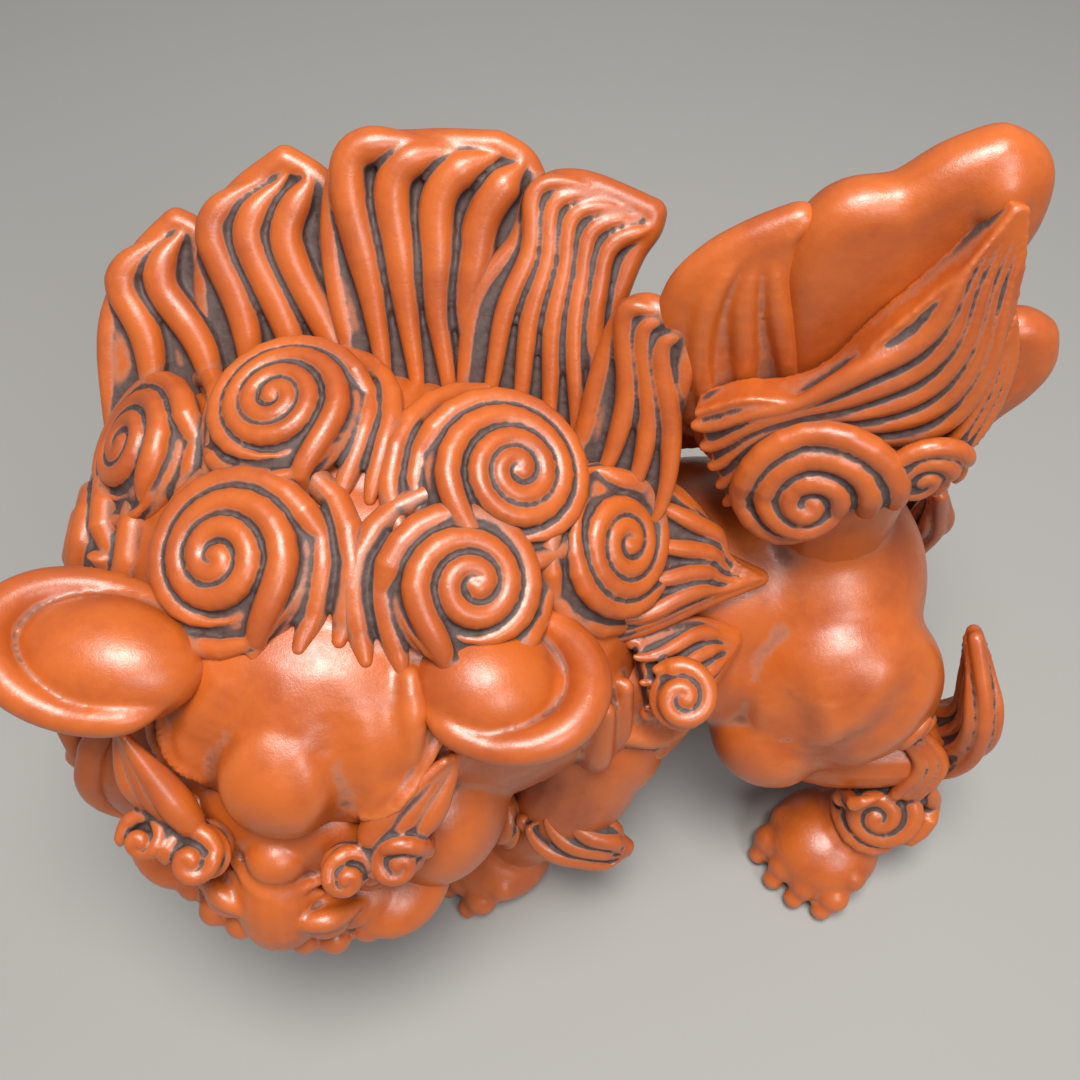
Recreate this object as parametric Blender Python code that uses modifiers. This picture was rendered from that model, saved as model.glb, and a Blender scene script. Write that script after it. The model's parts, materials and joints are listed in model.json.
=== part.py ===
"""A ceramic guardian lion: hollow cast sections and pressed sprigs, luted together with slip.

The lion stands along X with its head at -X and turned to look along -Y. Sizes are in millimetres
until MM turns them into metres. Every section starts as soft clay, which is balls and blades fused
into one skin. It is then trimmed back from the sections that it is luted to, which leaves the slip
joint between them.
"""

import math

import bmesh
import bpy
from mathutils import Matrix, Vector
from mathutils.bvhtree import BVHTree

MM = 0.001
SLIP_JOINT = 0.35  # the gap that slip fills between two luted sections
WALL = 8.0  # the cast wall of the hollow sections
VENT_RADIUS = 9.0
BODY_Y = 16.0  # the upright plane that the body, legs and tail are laid out about
TAIL_LEAN = 0.16  # how far the tail leans to +Y for each unit that it rises
TAIL_ROOT_Z = 150.0
HEAD_X, HEAD_Y = -78.0, -21.0  # the upright axis that the head is modelled round
HEAD_YAW = math.radians(11.0)  # how far the face turns from -Y towards -X
HEAD_ROLL = math.radians(8.0)  # how far the head tips, with its chin towards -X
CROWN = 130.0  # height of the middle of the dome that carries the mane
CLAY_COLOUR = (0.42, 0.105, 0.032, 1.0)
BALL_SEGMENTS, BALL_RINGS = 24, 14
BLADE_SIDES = 14
BLADE_STEPS = 5  # rings on a blade between two of its points
ROUND_ENDS = (35.0, 60.0, 80.0)  # degrees round the end of a blade
UP = Vector((0, 0, 1))
SHORTEST_EDGE = 0.2


# ---------------------------------------------------------------- clay


def clear_scene():
    for obj in list(bpy.data.objects):
        bpy.data.objects.remove(obj)


def clay_material(name):
    material = bpy.data.materials.new(name)
    material.use_nodes = True
    shader = material.node_tree.nodes["Principled BSDF"]
    shader.inputs["Base Color"].default_value = CLAY_COLOUR
    shader.inputs["Roughness"].default_value = 0.42
    shader.inputs["Metallic"].default_value = 0.0
    return material


def in_collection(name):
    found = bpy.data.collections.get(name)
    if found is None:
        found = bpy.data.collections.new(name)
        bpy.context.scene.collection.children.link(found)
    return found


def world_place(x, y, z):
    return Vector((x, y, z))


def head_place(side, front, height):
    """side is towards the lion's left ear and front is the way that the face looks."""
    rise = height - CROWN
    level = side * math.cos(HEAD_ROLL) + rise * math.sin(HEAD_ROLL)
    z = CROWN + rise * math.cos(HEAD_ROLL) - side * math.sin(HEAD_ROLL)
    x = HEAD_X + level * math.cos(HEAD_YAW) - front * math.sin(HEAD_YAW)
    y = HEAD_Y - level * math.sin(HEAD_YAW) - front * math.cos(HEAD_YAW)
    return Vector((x, y, z))


def leg_place(sign):
    """Places on the lion's left (-1) or right (1), where out is the distance from the body's plane."""
    return lambda x, out, z: Vector((x, BODY_Y + sign * out, z))


def tail_place(sign):
    """Places on the left (-1) or right (1) of the leaning tail."""
    return lambda x, out, z: Vector((x, BODY_Y + (z - TAIL_ROOT_Z) * TAIL_LEAN + sign * out, z))


def apply_modifiers(obj):
    bpy.context.view_layer.update()
    graph = bpy.context.evaluated_depsgraph_get()
    mesh = bpy.data.meshes.new_from_object(obj.evaluated_get(graph))
    obj.modifiers.clear()
    obj.data = mesh


def between(values, index, part):
    """Catmull-Rom value between values[index] and the next."""
    last = len(values) - 1
    before, start = values[max(index - 1, 0)], values[index]
    end, after = values[min(index + 1, last)], values[min(index + 2, last)]
    slope_in, slope_out = (end - before) / 2, (after - start) / 2
    cubic = part * part * part
    square = part * part
    return (
        start * (2 * cubic - 3 * square + 1)
        + slope_in * (cubic - 2 * square + part)
        + end * (3 * square - 2 * cubic)
        + slope_out * (cubic - square)
    )


class Clay:
    """Balls and blades pressed together, in the frame that place() gives."""

    def __init__(self, place=world_place):
        self.bm = bmesh.new()
        self.place = place

    def ball(self, centre, radii, axis=None):
        """An ellipsoid, with its last radius along axis if there is one."""
        origin = self.place(*centre)
        if axis is None:
            zero = self.place(0, 0, 0)
            axes = [self.place(*unit) - zero for unit in ((1, 0, 0), (0, 1, 0), (0, 0, 1))]
            turn = Matrix(axes).transposed().to_4x4()
        else:
            turn = UP.rotation_difference(axis).to_matrix().to_4x4()
        matrix = Matrix.Scale(MM, 4) @ Matrix.Translation(origin) @ turn @ Matrix.Diagonal((*radii, 1))
        bmesh.ops.create_uvsphere(
            self.bm, u_segments=BALL_SEGMENTS, v_segments=BALL_RINGS, radius=1, matrix=matrix
        )
        return self

    def blade(self, points, widths, depths, facing=(0, 0, 1)):
        """A tapered bar with round ends and an oval section, flat towards facing."""
        path = [self.place(*point) for point in points]
        rows = []
        for index in range(len(path) - 1):
            for step in range(BLADE_STEPS):
                part = step / BLADE_STEPS
                rows.append([between(series, index, part) for series in (path, widths, depths)])
        rows.append([path[-1], widths[-1], depths[-1]])
        first, last = rows[0], rows[-1]
        start = (first[0] - rows[1][0]).normalized()
        end = (last[0] - rows[-2][0]).normalized()
        for angle in map(math.radians, ROUND_ENDS):
            narrow, out = math.cos(angle), math.sin(angle)
            rows.insert(0, [first[0] + start * first[2] * out, first[1] * narrow, first[2] * narrow])
            rows.append([last[0] + end * last[2] * out, last[1] * narrow, last[2] * narrow])
        rings = []
        for index, (centre, width, depth) in enumerate(rows):
            ahead = rows[min(index + 1, len(rows) - 1)][0] - rows[max(index - 1, 0)][0]
            across = ahead.cross(Vector(facing)).normalized()
            outward = across.cross(ahead).normalized()
            ring = []
            for corner in range(BLADE_SIDES):
                angle = math.tau * corner / BLADE_SIDES
                reach = across * (width * math.cos(angle)) + outward * (depth * math.sin(angle))
                ring.append(self.bm.verts.new((centre + reach) * MM))
            rings.append(ring)
        for ring, other in zip(rings, rings[1:]):
            for corner in range(BLADE_SIDES):
                after = (corner + 1) % BLADE_SIDES
                self.bm.faces.new((ring[corner], ring[after], other[after], other[corner]))
        self.bm.faces.new(rings[0][::-1])
        self.bm.faces.new(rings[-1])
        return self

    def rope(self, points, radii):
        """A tapered round bar. It climbs, so it takes its sides from a level direction."""
        return self.blade(points, radii, radii, (0.02, 1, 0.03))

    def section(self, name, voxel, triangles, soften=2):
        """The fused skin as one object of about that many triangles."""
        bmesh.ops.recalc_face_normals(self.bm, faces=self.bm.faces)
        mesh = bpy.data.meshes.new(name)
        self.bm.to_mesh(mesh)
        self.bm.free()
        obj = bpy.data.objects.new(name, mesh)
        in_collection("guardian_lion").objects.link(obj)
        fuse = obj.modifiers.new("fuse", "REMESH")
        fuse.mode = "VOXEL"
        fuse.voxel_size = voxel * MM
        smooth = obj.modifiers.new("soften", "SMOOTH")
        smooth.iterations = soften
        apply_modifiers(obj)
        thin = obj.modifiers.new("thin", "DECIMATE")
        thin.ratio = min(1.0, triangles / (2.0 * len(obj.data.polygons)))
        apply_modifiers(obj)
        obj.data.materials.clear()
        obj.data.materials.append(clay_material(name))
        obj.data.shade_smooth()
        return obj


def keep_largest(obj):
    """Drops the crumbs that trimming leaves beside the section."""
    bm = bmesh.new()
    bm.from_mesh(obj.data)
    unseen = set(bm.verts)
    bodies = []
    while unseen:
        stack = [unseen.pop()]
        body = []
        while stack:
            vert = stack.pop()
            body.append(vert)
            for edge in vert.link_edges:
                other = edge.other_vert(vert)
                if other in unseen:
                    unseen.remove(other)
                    stack.append(other)
        bodies.append(body)
    bodies.sort(key=len)
    for crumb in bodies[:-1]:
        bmesh.ops.delete(bm, geom=crumb, context="VERTS")
    bmesh.ops.triangulate(bm, faces=bm.faces)
    bm.to_mesh(obj.data)
    bmesh.ops.dissolve_degenerate(bm, edges=bm.edges, dist=SHORTEST_EDGE * MM)
    if all(edge.is_manifold for edge in bm.edges):
        bmesh.ops.triangulate(bm, faces=bm.faces)
        bm.to_mesh(obj.data)
    bm.free()


def swollen(obj):
    """A cutter: a copy of the section grown outwards by the slip joint."""
    mesh = obj.data.copy()
    moves = [vert.normal * (SLIP_JOINT * MM) for vert in mesh.vertices]
    for vert, move in zip(mesh.vertices, moves):
        vert.co += move
    cutter = bpy.data.objects.new("cutter_" + obj.name, mesh)
    cutter.hide_render = True
    cutter.display_type = "WIRE"
    in_collection("cutters").objects.link(cutter)
    return cutter


def cut_away(obj, cutter):
    cut = obj.modifiers.new("cut", "BOOLEAN")
    cut.operation = "DIFFERENCE"
    cut.solver = "EXACT"
    cut.use_self = True
    cut.object = cutter
    apply_modifiers(obj)
    bpy.data.objects.remove(cutter)
    keep_largest(obj)


def box_of(obj):
    corners = [vert.co for vert in obj.data.vertices]
    low = Vector(min(corner[axis] for corner in corners) for axis in range(3))
    high = Vector(max(corner[axis] for corner in corners) for axis in range(3))
    return low, high


def near(one, other):
    (low, high), (other_low, other_high) = box_of(one), box_of(other)
    return all(low[axis] < other_high[axis] and other_low[axis] < high[axis] for axis in range(3))


def lute(section, placed):
    """Trims the section back from every one that is already placed, and places it too."""
    for other in placed:
        if near(section, other):
            cut_away(section, swollen(other))
            if not section.data.vertices:
                raise RuntimeError(f"{other.name} swallows {section.name}")
    placed.append(section)
    return section


def seat_on(skins, place):
    """The nearest point of the skins to a place, and which way is out there, in millimetres."""
    found = []
    for skin in skins:
        tree = BVHTree.FromObject(skin, bpy.context.evaluated_depsgraph_get())
        spot, normal, _, distance = tree.find_nearest(Vector(place) * MM)
        found.append((distance, spot / MM, normal))
    _, spot, normal = min(found, key=lambda entry: entry[0])
    return spot, normal


def stand_on_floor(obj):
    """Cuts a flat sole at the floor."""
    bm = bmesh.new()
    bm.from_mesh(obj.data)
    geometry = [*bm.verts, *bm.edges, *bm.faces]
    cut = bmesh.ops.bisect_plane(
        bm, geom=geometry, plane_co=(0, 0, 0), plane_no=(0, 0, 1), clear_inner=True
    )
    rim = [part for part in cut["geom_cut"] if isinstance(part, bmesh.types.BMEdge)]
    bmesh.ops.holes_fill(bm, edges=rim)
    bmesh.ops.recalc_face_normals(bm, faces=bm.faces)
    bm.to_mesh(obj.data)
    bm.free()
    return obj


# ---------------------------------------------------------------- body and head


def shape_torso(clay, skin):
    """The barrel, with skin taken off all round for the hollow inside it."""
    clay.ball((-4, BODY_Y, 112), (50 - skin, 47 - skin, 50 - skin))
    clay.ball((40, BODY_Y, 112), (54 - skin, 43 - skin, 43 - skin))
    clay.ball((80, BODY_Y, 113), (40 - skin, 45 - skin, 43 - skin))
    return clay


def shape_head(clay, skin):
    clay.ball((4, -15, CROWN), (90 - skin, 64 - skin, 72 - skin))
    clay.ball((4, -36, 142), (90 - skin, 54 - skin, 68 - skin))
    clay.ball((-3, 22, 148), (54 - skin, 42 - skin, 40 - skin))
    clay.ball((-4, 32, 118), (56 - skin, 38 - skin, 38 - skin))
    return clay


def make_torso():
    clay = shape_torso(Clay(), 0)
    clay.ball((34, BODY_Y, 90), (50, 34, 28))
    clay.blade([(-20, 12, 128), (-60, 4, 132)], (44, 42), (40, 38))
    return clay.section("torso_shell", 4.0, 700)


def make_head_shell():
    clay = shape_head(Clay(head_place), 0)
    clay.ball((-4, 46, 150), (21, 22, 24))
    for side in (-1, 1):
        clay.ball((side * 44 - 6, 38, 112), (24, 28, 28))
        clay.ball((side * 26 - 3, 42, 152), (18, 18, 16))
        clay.ball((side * 34 - 4, 42, 92), (22, 28, 16))
    return clay.section("head_shell", 4.0, 800)


def hollow_out(torso, head):
    """One hollow runs from the head through the neck to the belly vent, so that the kiln can't burst it."""
    core = shape_torso(Clay(), WALL)
    core.rope([(-10, BODY_Y, 115), (-40, BODY_Y - 2, 128), (-90, 6, 132)], (24, 24, 24))
    core.rope([(40, BODY_Y, 100), (40, BODY_Y, 40)], (VENT_RADIUS, VENT_RADIUS))
    cut_away(torso, core.section("cutter_core", 5.0, 260))
    core = shape_head(Clay(head_place), WALL + 2)
    core.ball((0, -14, CROWN), (60, 74, 40))
    cut_away(head, core.section("cutter_core", 5.0, 260))


def make_muzzle():
    clay = Clay(head_place)
    clay.rope([(-2, 64, 132), (-1, 73, 124), (0, 77, 114)], (11, 12, 15))
    clay.ball((0, 66, 106), (38, 20, 12))
    for side in (-1, 1):
        clay.ball((side * 17, 75, 110), (11, 10, 9))
        clay.ball((side * 33 - 3, 60, 101), (19, 22, 12))
    return clay.section("muzzle", 3.0, 300)


def make_teeth():
    clay = Clay(head_place)
    arch = [(-33, 50, 88), (-18, 66, 88), (-1, 70, 88), (16, 66, 88), (31, 50, 88)]
    clay.blade(arch, (5,) * 5, (5,) * 5)
    for side in (-1, 1):
        clay.rope([(side * 21 - 1, 66, 92), (side * 23 - 1, 69, 80)], (5, 2.5))
    return clay.section("teeth", 2.0, 160)


def make_jaw():
    clay = Clay(head_place)
    clay.ball((-1, 46, 74), (38, 30, 12))
    clay.ball((-1, 64, 75), (18, 13, 10))
    return clay.section("lower_jaw", 3.0, 160)


def make_eye(name, side):
    clay = Clay(head_place)
    clay.ball((side * 28 - 3, 62, 126), (11, 9, 10))
    return clay.section(name, 2.0, 80)


def make_brow(name, side):
    """An eyebrow: two curls side by side and a flame tuft that sweeps up beside them."""
    clay = Clay(head_place)
    clay.ball((side * 19.5 - 2, 74 - side * 3, 136), (9, 9, 9))
    clay.ball((side * 34 - 3, 70 - side * 5, 136), (9, 9, 9))
    sweep = [(side * 33 - 3, 58, 142), (side * 40 - 3, 54, 150), (side * 45 - 3, 44, 163)]
    clay.blade(sweep, (12, 12, 4), (8, 8, 4), head_place(side, 1, 0.4) - head_place(0, 0, 0))
    return clay.section(name, 2.5, 200)


def make_ear(name, root, middle, tip):
    """A broad ear that opens upwards and forwards, with a soft pad inside its rim."""
    opening = head_place(0, 0.5, 1) - head_place(0, 0, 0)
    clay = Clay(head_place)
    clay.blade([root, middle, tip], (15, 22, 17), (8, 8, 7), opening)
    clay.ball((middle[0], middle[1] + 2, middle[2] + 3), (15, 14, 9))
    return clay.section(name, 2.5, 220)


def make_beard(name, side, height, radius):
    clay = Clay(head_place)
    clay.ball((side, 46, height), (radius, radius * 1.5, radius))
    clay.ball((side, 52, height - radius * 0.6), (radius * 0.6,) * 3)
    return clay.section(name, 2.5, 130)


# ---------------------------------------------------------------- mane


def make_curl(name, skins, place, radius):
    """A pressed snail curl: a domed disc with a knob, seated on the skin."""
    spot, normal = seat_on(skins, place)
    clay = Clay()
    clay.ball(spot, (radius, radius, radius * 0.5), normal)
    clay.ball(spot + normal * (radius * 0.45), (radius * 0.28,) * 3)
    return clay.section(name, 2.5, 110)


def make_lock(name, points, widths, depths, facing, triangles=110):
    return Clay().blade(points, widths, depths, facing).section(name, 2.5, triangles)


MANE_CURLS = {  # place and radius of each curl round the head
    "mane_curl_crown_left": ((-26, -8, 205), 24),
    "mane_curl_crown_right": ((-90, 13, 208), 21),
    "mane_curl_brow_left": ((-40, -40, 198), 17),
    "mane_curl_brow_right": ((-100, -31, 198), 20),
    "mane_curl_temple_right": ((-142, 18, 188), 18),
    "mane_curl_side_right": ((-166, 4, 158), 17),
    "mane_curl_temple_left": ((4, -18, 182), 18),
    "mane_curl_nape_right": ((-128, 48, 152), 19),
    "mane_curl_nape_middle": ((-80, 62, 158), 22),
    "mane_curl_nape_left": ((-30, 56, 154), 19),
    "mane_curl_cheek_right": ((-160, -30, 118), 15),
}

CREST_LOCKS = (  # base, middle, tip and half widths, from the lion's right to its left
    ((-138, 36, 190), (-136, 55, 208), (-126, 69, 225), (17, 16, 6)),
    ((-102, 44, 202), (-99, 62, 222), (-87, 76, 239), (21, 20, 8)),
    ((-58, 42, 204), (-49, 60, 226), (-33, 71, 241), (27, 28, 19)),
    ((-20, 30, 200), (-5, 47, 220), (14, 60, 236), (24, 23, 10)),
    ((9, 12, 188), (19, 29, 205), (27, 44, 216), (18, 16, 6)),
)

NAPE_LOCKS = (  # base, middle, tip and half width of the locks that hang behind the head
    ((-142, 38, 130), (-146, 46, 108), (-140, 50, 82), 13),
    ((-106, 52, 130), (-108, 62, 106), (-100, 64, 76), 16),
    ((-66, 56, 130), (-64, 66, 104), (-54, 66, 74), 16),
    ((-24, 54, 134), (-16, 66, 116), (2, 70, 96), 14),
    ((0, 40, 160), (20, 52, 152), (44, 50, 150), 13),
)


def make_mane(placed, torso, head):
    for name, (place, radius) in MANE_CURLS.items():
        lute(make_curl(name, (head,), place, radius), placed)
    for number, (base, middle, tip, widths) in enumerate(CREST_LOCKS, 1):
        lute(make_lock(f"crest_lock_{number}", (base, middle, tip), widths, (11, 9, 5), (0, -0.7, 0.7)), placed)
    for number, (base, middle, tip, width) in enumerate(NAPE_LOCKS, 1):
        widths = (width, width, width * 0.3)
        lute(make_lock(f"nape_lock_{number}", (base, middle, tip), widths, (9, 8, 4), (0, 1, 0.2)), placed)
    upper = Clay().blade([(8, -8, 160), (28, -2, 151), (50, -6, 147)], (16, 15, 4), (9, 8, 4), (0, 0, 1))
    lute(upper.section("shoulder_lock_upper", 2.5, 110), placed)
    lower = Clay().blade([(14, -38, 140), (32, -30, 138), (46, -21, 134)], (13, 12, 4), (9, 8, 4), (0, -1, 1))
    lower.ball((24, -44, 132), (13, 8, 13))
    lute(lower.section("shoulder_lock_lower", 2.5, 130), placed)


# ---------------------------------------------------------------- legs


def add_paw(clay, x, out, forward):
    """Four toes and a pad. forward is the way that the toes point, as x and out."""
    ahead = Vector(forward).normalized()
    beside = Vector((-ahead.y, ahead.x))
    clay.ball((x, out, 12), (22, 22, 17))
    for toe in range(4):
        spread = (toe - 1.5) * 10.5
        reach = 17 - abs(toe - 1.5) * 4
        spot = ahead * reach + beside * spread
        clay.ball((x + spot.x, out + spot.y, 9), (8, 8, 10))


def make_foreleg(name, sign):
    clay = Clay(leg_place(sign))
    clay.ball((6, 46, 104), (31, 21, 34))
    clay.ball((4, 58, 84), (20, 14, 20))
    clay.rope([(4, 54, 92), (-2, 62, 70), (-12, 66, 50), (-22, 66, 32), (-28, 66, 20)], (22, 20, 18, 16, 15))
    add_paw(clay, -34, 68, (-1, 0.45))
    return stand_on_floor(clay.section(name, 3.0, 400))


def make_hindleg(name, sign):
    clay = Clay(leg_place(sign))
    clay.ball((84, 36, 100), (36, 24, 38))
    clay.ball((62, 44, 76), (18, 18, 16))
    clay.rope([(66, 48, 70), (96, 50, 64), (122, 46, 62)], (18, 18, 15))
    clay.rope([(126, 46, 62), (124, 50, 44), (112, 58, 26), (102, 66, 16)], (13, 14, 15, 16))
    add_paw(clay, 98, 66, (-0.7, 0.7))
    return stand_on_floor(clay.section(name, 3.0, 420))


def make_hock_sprig(name, hind, leg):
    """A large curl on the hock and a small one on the thigh, joined by a strand."""
    spots = [seat_on((hind,), leg(*place)) for place in ((112, 64, 44), (120, 54, 66), (114, 50, 94))]
    clay = Clay()
    clay.ball(spots[0][0], (14, 14, 6), spots[0][1])
    clay.ball(spots[2][0], (10, 10, 5), spots[2][1])
    clay.blade([spot for spot, _ in spots], (7, 6, 6), (4, 4, 4), spots[1][1])
    return clay.section(name, 2.5, 190)


def make_legs(placed):
    for side, sign in (("left", -1), ("right", 1)):
        leg = leg_place(sign)
        fore = lute(make_foreleg(f"{side}_foreleg", sign), placed)
        hind = lute(make_hindleg(f"{side}_hindleg", sign), placed)
        elbow = Clay(leg).blade([(-12, 70, 62), (-5, 76, 50), (1, 80, 38)], (13, 13, 7), (8, 8, 5), (0, sign, 0.3))
        lute(elbow.section(f"{side}_elbow_tuft", 2.5, 90), placed)
        heel = Clay(leg).blade(
            [(128, 40, 52), (137, 46, 76), (137, 42, 98), (130, 30, 122)], (12, 13, 12, 4), (8, 8, 8, 4), (1, 0, 0)
        )
        lute(heel.section(f"{side}_heel_tuft", 2.5, 130), placed)
        lute(make_curl(f"{side}_foreleg_curl", (fore,), leg(-25, 69, 50), 11), placed)
        lute(make_hock_sprig(f"{side}_hock_curl", hind, leg), placed)


# ---------------------------------------------------------------- tail


def make_tail(placed):
    middle = Clay(tail_place(1))
    middle.rope([(78, 0, 138), (76, 0, 172), (70, 0, 196)], (19, 24, 26))
    middle.blade([(52, 0, 192), (88, 0, 192)], (26, 26), (20, 20))
    lute(middle.section("tail_root", 3.5, 220), placed)
    for side, sign in (("left", -1), ("right", 1)):
        curls = (
            (f"tail_{side}_curl_large", (60, 16, 184), (20, 14, 20)),
            (f"tail_{side}_curl_small", (95, 12, 192), (15, 12, 11)),
        )
        for name, place, radii in curls:
            clay = Clay(tail_place(sign))
            clay.ball(place, radii)
            clay.ball((place[0], place[1] + radii[1] * 0.8, place[2]), (5, 5, 5))
            lute(clay.section(name, 2.5, 100), placed)
        plume = Clay(tail_place(sign))
        plume.blade(
            [(34, 10, 204), (62, 18, 200), (85, 19, 212), (99, 13, 240), (107, 6, 264)],
            (17, 22, 23, 14, 5), (9, 9, 9, 8, 4), (0, sign, 0.5),
        )
        lute(plume.section(f"tail_{side}_plume", 2.5, 190), placed)
    tongues = (
        ("tail_tongue_tall", ((78, 0, 194), (78, 0, 228), (91, 0, 254), (104, 0, 271)), (28, 30, 23, 10), (20, 18, 14, 9)),
        ("tail_tongue_front", ((50, 0, 194), (42, 0, 222), (38, 0, 244)), (25, 25, 20), (22, 17, 9)),
        ("tail_tongue_rear", ((92, 0, 190), (112, 2, 205), (126, 6, 219)), (16, 13, 8), (18, 13, 8)),
    )
    for name, points, widths, depths in tongues:
        lute(Clay(tail_place(1)).blade(points, widths, depths, (0.05, 1, 0.05)).section(name, 3.0, 160), placed)


def centre_on_floor(sections):
    """Moves every section so that the origin is under the middle of the whole lion."""
    boxes = [box_of(section) for section in sections]
    low = Vector(min(box[0][axis] for box in boxes) for axis in range(3))
    high = Vector(max(box[1][axis] for box in boxes) for axis in range(3))
    middle = (low + high) / 2
    shift = Matrix.Translation((-middle.x, -middle.y, -low.z))
    for section in sections:
        section.data.transform(shift)


def main():
    clear_scene()
    torso = make_torso()
    head = make_head_shell()
    placed = []
    lute(torso, placed)
    lute(head, placed)
    lute(make_muzzle(), placed)
    lute(make_jaw(), placed)
    lute(make_teeth(), placed)
    for side, sign in (("left", 1), ("right", -1)):
        lute(make_eye(f"{side}_eye", sign), placed)
        lute(make_brow(f"{side}_brow", sign), placed)
    lute(make_ear("left_ear", (32, 20, 168), (53, 22, 175), (68, 18, 178)), placed)
    lute(make_ear("right_ear", (-36, 34, 170), (-58, 42, 176), (-76, 40, 178)), placed)
    for name, side, height in (("right", -28, 72), ("middle", 0, 64), ("left", 26, 72)):
        lute(make_beard(f"beard_curl_{name}", side, height, 11), placed)
    make_mane(placed, torso, head)
    make_legs(placed)
    make_tail(placed)
    hollow_out(torso, head)
    centre_on_floor(placed)


if __name__ == "__main__":
    main()
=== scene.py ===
"""A red clay guardian lion, carved with snail curls and flame locks and rubbed with a dark wash.

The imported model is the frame. Each section of it gets a carved piece of clay in its place: forms
and ropes of clay are pressed together, fused into one skin, and cut with grooves. Sizes are in
millimetres until MM turns them into metres.
"""

import json
import math

import bmesh
import bpy
import numpy as np
from bpy.props import FloatProperty, FloatVectorProperty, PointerProperty
from mathutils import Matrix, Vector
from mathutils.bvhtree import BVHTree

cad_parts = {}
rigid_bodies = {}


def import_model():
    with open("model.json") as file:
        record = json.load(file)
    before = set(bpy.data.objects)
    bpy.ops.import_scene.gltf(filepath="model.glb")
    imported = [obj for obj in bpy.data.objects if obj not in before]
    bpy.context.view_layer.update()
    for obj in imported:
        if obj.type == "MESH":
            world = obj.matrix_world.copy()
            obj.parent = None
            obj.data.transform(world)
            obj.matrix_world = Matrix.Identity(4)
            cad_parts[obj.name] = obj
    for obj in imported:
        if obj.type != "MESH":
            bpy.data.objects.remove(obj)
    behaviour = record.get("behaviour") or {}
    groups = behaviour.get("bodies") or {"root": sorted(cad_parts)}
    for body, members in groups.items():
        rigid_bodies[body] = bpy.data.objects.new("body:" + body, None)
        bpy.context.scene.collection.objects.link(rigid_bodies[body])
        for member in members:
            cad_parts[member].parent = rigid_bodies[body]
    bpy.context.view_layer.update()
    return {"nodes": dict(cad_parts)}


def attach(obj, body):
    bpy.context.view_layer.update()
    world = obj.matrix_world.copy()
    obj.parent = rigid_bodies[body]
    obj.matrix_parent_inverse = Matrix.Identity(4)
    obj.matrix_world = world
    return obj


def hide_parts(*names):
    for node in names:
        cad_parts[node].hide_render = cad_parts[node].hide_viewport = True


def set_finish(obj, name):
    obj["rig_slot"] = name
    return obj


bl_info = {
    "name": "Clay Guardian Lion",
    "version": (1, 0, 0),
    "blender": (4, 5, 0),
    "location": "3D View > Sidebar > Clay Lion",
    "description": "Carves the clay pieces of a guardian lion round its packed frame",
    "category": "Object",
}

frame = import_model()

MM = 0.001
ORIGIN = Vector((9.998, 0.355, 0.0))  # the modelling origin, seen from under the lion's middle
BODY_Y = 16.0  # the body's middle plane
TAIL_LEAN = 0.16  # how far the tail leans back for each millimetre that it rises
TAIL_ROOT_Z = 150.0
HEAD_X, HEAD_Y = -78.0, -21.0
HEAD_YAW = math.radians(11.0)
HEAD_ROLL = math.radians(8.0)
CROWN = 130.0
SKYWARD = Vector((0, 0.84, 0.54))  # up along the mane, away from the face
UNITS = ((1, 0, 0), (0, 1, 0), (0, 0, 1))
BALL_SEGMENTS, BALL_RINGS = 40, 24
ROPE_STEPS = 7  # between two points of a rope
EDGE_STEPS = 40  # along an edge or a comb's rope
TURN_STEPS = 22  # in each turn of a spiral
TAIL_STEP = 1.5  # millimetres between the steps of a curl's tail
GROOVE_STEPS = 60
PROBE_START, PROBE_REACH = 26.0, 60.0  # where a probe for the skin starts, and how deep it goes
THINNEST = 0.15
CAP_TURNS = (0.5, 0.95, 1.3, 1.5)  # the turns, in radians, that a rope's round end is stepped in


# ---- places


def world_place(x, y, z):
    return Vector((x, y, z)) + ORIGIN


def put(place, spots):
    return [place(*spot) for spot in spots]


def placed(x, y, z):
    """For a spot that a seat or another place has already given."""
    return Vector((x, y, z))


def head_place(side, front, height):
    """side is towards the lion's left ear and front is the way that the face looks."""
    rise = height - CROWN
    level = side * math.cos(HEAD_ROLL) + rise * math.sin(HEAD_ROLL)
    z = CROWN + rise * math.cos(HEAD_ROLL) - side * math.sin(HEAD_ROLL)
    x = HEAD_X + level * math.cos(HEAD_YAW) - front * math.sin(HEAD_YAW)
    y = HEAD_Y - level * math.sin(HEAD_YAW) - front * math.cos(HEAD_YAW)
    return Vector((x, y, z)) + ORIGIN


def leg_place(sign):
    """Places on the lion's left (-1) or right (1). out is the distance from the body's plane."""
    return lambda x, out, z: Vector((x, BODY_Y + sign * out, z)) + ORIGIN


def tail_place(sign):
    """Places on the left (-1) or right (1) of the leaning tail."""

    def place(x, out, z):
        return Vector((x, BODY_Y + (z - TAIL_ROOT_Z) * TAIL_LEAN + sign * out, z)) + ORIGIN

    return place


def direction(place, x, y, z):
    return (place(x, y, z) - place(0, 0, 0)).normalized()


# ---- clay


def settings():
    """What a user has set in the panel."""
    return bpy.context.scene.clay_lion


def between(values, index, part):
    """Catmull-Rom value between values[index] and the next."""
    last = len(values) - 1
    before, start = values[max(index - 1, 0)], values[index]
    end, after = values[min(index + 1, last)], values[min(index + 2, last)]
    slope_in, slope_out = (end - before) / 2, (after - start) / 2
    cubic = part * part * part
    square = part * part
    return (
        start * (2 * cubic - 3 * square + 1)
        + slope_in * (cubic - 2 * square + part)
        + end * (3 * square - 2 * cubic)
        + slope_out * (cubic - square)
    )


def along(values, part):
    """The value at a part, 0 to 1, of the way along evenly spaced values."""
    spot = min(max(part, 0.0), 1.0) * (len(values) - 1)
    index = min(int(spot), len(values) - 2)
    return between(values, index, spot - index)


def ease(part):
    part = min(max(part, 0.0), 1.0)
    return part * part * (3 - 2 * part)


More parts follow.
